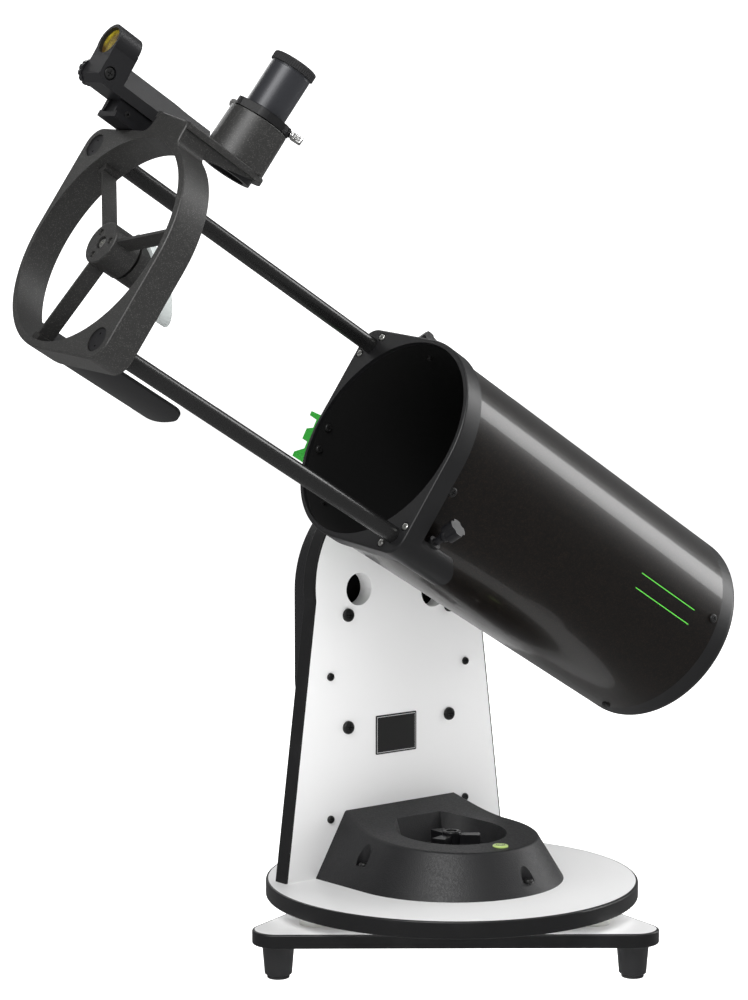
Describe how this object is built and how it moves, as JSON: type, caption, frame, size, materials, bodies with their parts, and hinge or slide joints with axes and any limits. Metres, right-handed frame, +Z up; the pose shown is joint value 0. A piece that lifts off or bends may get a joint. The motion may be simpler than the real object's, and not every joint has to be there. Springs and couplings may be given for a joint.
{
  "type": "tabletop dobsonian telescope",
  "caption": "Collapsible Newtonian telescope on sliding truss rods, with red-dot finder and eyepiece, carried by a one-armed tabletop rocker stand with round turntable.",
  "frame": {"origin": "on the surface it stands on, under the middle of the box round the whole telescope", "axes": "+Z up; -X towards the end that points at the sky; +Y from the tube towards the arm"},
  "size_m": [0.7102, 0.357, 0.7957],
  "materials": {
    "board_laminate": "white melamine face, slight sheen",
    "board_edging": "black moulding, satin",
    "foot_plastic": "black, satin",
    "pad_rubber": "matte black",
    "screw_steel": "bright zinc plate",
    "black_steel": "black oxide",
    "glide_plastic": "natural white, slippery",
    "housing_plastic": "fine moulded texture",
    "level_green": "clear tinted liquid",
    "knob_plastic": "polished black",
    "cast_black": "black powder coat",
    "tube_paint": "deep metallic gloss",
    "ring_black": "satin black",
    "mirror_glass": "aluminised",
    "cell_black": "black, satin",
    "anodised_green": "bright anodised",
    "cage_black": "fine speckled powder coat",
    "rod_black": "semi-gloss",
    "shield_black": "satin",
    "finder_plastic": "satin",
    "amber_glass": "amber coating",
    "drawtube_metal": "black, satin",
    "chromed": "knurled, polished",
    "eyepiece_black": "gloss black",
    "coated_glass": "blue-green coating"
  },
  "bodies": {
    "stand": {"ground_board": "board_laminate", "ground_board_edging": "board_edging", "feet": "foot_plastic", "foot_pads": "pad_rubber", "foot_screws": "screw_steel", "pivot_bolt": "screw_steel", "glide_pads": "glide_plastic"},
    "turntable": {"round_board": "board_laminate", "round_board_edging": "board_edging", "pivot_bush": "glide_plastic", "base_housing": "housing_plastic", "housing_screws": "black_steel", "bubble_level": "level_green", "arm_board": "board_laminate", "arm_board_edging": "board_edging", "arm_screws": "black_steel", "arm_trim_screws": "black_steel", "arm_housing": "housing_plastic", "altitude_bush": "glide_plastic"},
    "azimuth_knob": {"azimuth_knob": "knob_plastic"},
    "saddle": {"saddle": "cast_black", "saddle_jaw": "cast_black", "altitude_disc": "glide_plastic", "altitude_bolt": "screw_steel"},
    "altitude_knob": {"altitude_knob": "knob_plastic"},
    "saddle_knob": {"saddle_knob": "knob_plastic"},
    "tube": {"main_tube": "tube_paint", "front_ring": "ring_black", "rear_cell": "ring_black", "primary_mirror": "mirror_glass", "mirror_cell": "cell_black", "mirror_pads": "pad_rubber", "mirror_clips": "cell_black", "collimation_screws": "screw_steel", "dovetail_bar": "anodised_green", "tube_screws": "black_steel", "ear_screws": "screw_steel"},
    "rod_lock_upper": {"rod_lock_upper": "knob_plastic"},
    "rod_lock_lower": {"rod_lock_lower": "knob_plastic"},
    "cage": {"cage_ring": "cage_black", "truss_rods": "rod_black", "rod_caps": "knob_plastic", "spider": "cage_black", "diagonal_holder": "cage_black", "diagonal_mirror": "mirror_glass", "diagonal_screws": "screw_steel", "light_shield": "shield_black", "finder_shoe": "knob_plastic", "finder_body": "finder_plastic", "finder_lens": "amber_glass", "finder_screws": "screw_steel"},
    "finder_switch": {"finder_switch": "knob_plastic"},
    "focuser_drawtube": {"focuser_drawtube": "drawtube_metal"},
    "eyepiece_clamp": {"eyepiece_clamp": "ring_black"},
    "thumbscrew_near": {"thumbscrew_near": "chromed"},
    "thumbscrew_far": {"thumbscrew_far": "chromed"},
    "eyepiece": {"eyepiece": "eyepiece_black", "eyecup": "pad_rubber", "eye_lens": "coated_glass"}
  },
  "joints": [
    {"name": "azimuth", "type": "hinge", "parent": "stand", "child": "turntable", "pos_m": [0.1116, 0.0107, 0], "axis": [0, 0, 1], "continuous": true},
    {"name": "azimuth_knob_turn", "type": "hinge", "parent": "stand", "child": "azimuth_knob", "pos_m": [0.1116, 0.0107, 0], "axis": [0, 0, 1], "range_deg": [-180, 180]},
    {"name": "altitude", "type": "hinge", "parent": "turntable", "child": "saddle", "pos_m": [0.1093, -0.0501, 0.3978], "axis": [0, 1, 0], "range_deg": [-29.24, 60.76]},
    {"name": "altitude_knob_turn", "type": "hinge", "parent": "saddle", "child": "altitude_knob", "pos_m": [0.1093, -0.0501, 0.3978], "axis": [0, 1, 0], "range_deg": [-180, 180]},
    {"name": "saddle_knob_turn", "type": "hinge", "parent": "saddle", "child": "saddle_knob", "pos_m": [0.1093, 0.0551, 0.3978], "axis": [-0.4885, 0, -0.8726], "range_deg": [-180, 180]},
    {"name": "tube_slide", "type": "slide", "parent": "saddle", "child": "tube", "axis": [-0.8726, 0, 0.4885], "range_m": [-0.06, 0.015]},
    {"name": "rod_lock_upper_turn", "type": "hinge", "parent": "tube", "child": "rod_lock_upper", "pos_m": [0.0482, 0.0143, 0.53125], "axis": [0.2915, -0.8024, 0.5207], "range_deg": [-180, 180]},
    {"name": "rod_lock_lower_turn", "type": "hinge", "parent": "tube", "child": "rod_lock_lower", "pos_m": [-0.0364, -0.1145, 0.38012], "axis": [0.2915, -0.8024, 0.5207], "range_deg": [-180, 180]},
    {"name": "cage_slide", "type": "slide", "parent": "tube", "child": "cage", "axis": [-0.8726, 0, 0.4885], "range_m": [-0.2, 0]},
    {"name": "finder_switch_turn", "type": "hinge", "parent": "cage", "child": "finder_switch", "pos_m": [-0.27799, -0.00668, 0.75904], "axis": [0.0537, 0.9939, 0.0959], "range_deg": [0, 300]},
    {"name": "focus_slide", "type": "slide", "parent": "cage", "child": "focuser_drawtube", "axis": [0.4695, -0.2756, 0.8388], "range_m": [0, 0.015]},
    {"name": "focus_turn", "type": "hinge", "parent": "focuser_drawtube", "child": "eyepiece_clamp", "pos_m": [-0.17951, -0.09145, 0.72472], "axis": [0.4695, -0.2756, 0.8388], "range_deg": [0, 180]},
    {"name": "thumbscrew_near_turn", "type": "hinge", "parent": "eyepiece_clamp", "child": "thumbscrew_near", "pos_m": [-0.17909, -0.09169, 0.72547], "axis": [0.6268, -0.565, -0.5366], "range_deg": [-180, 180]},
    {"name": "thumbscrew_far_turn", "type": "hinge", "parent": "eyepiece_clamp", "child": "thumbscrew_far", "pos_m": [-0.17909, -0.09169, 0.72547], "axis": [-0.0805, 0.9327, 0.3515], "range_deg": [-180, 180]},
    {"name": "eyepiece_out", "type": "slide", "parent": "eyepiece_clamp", "child": "eyepiece", "axis": [0.4695, -0.2756, 0.8388], "range_m": [0, 0.03]}
  ],
  "couplings": [
    {"joint": "focus_turn", "follows": "focus_slide", "rad_per_m": 209.44}
  ]
}
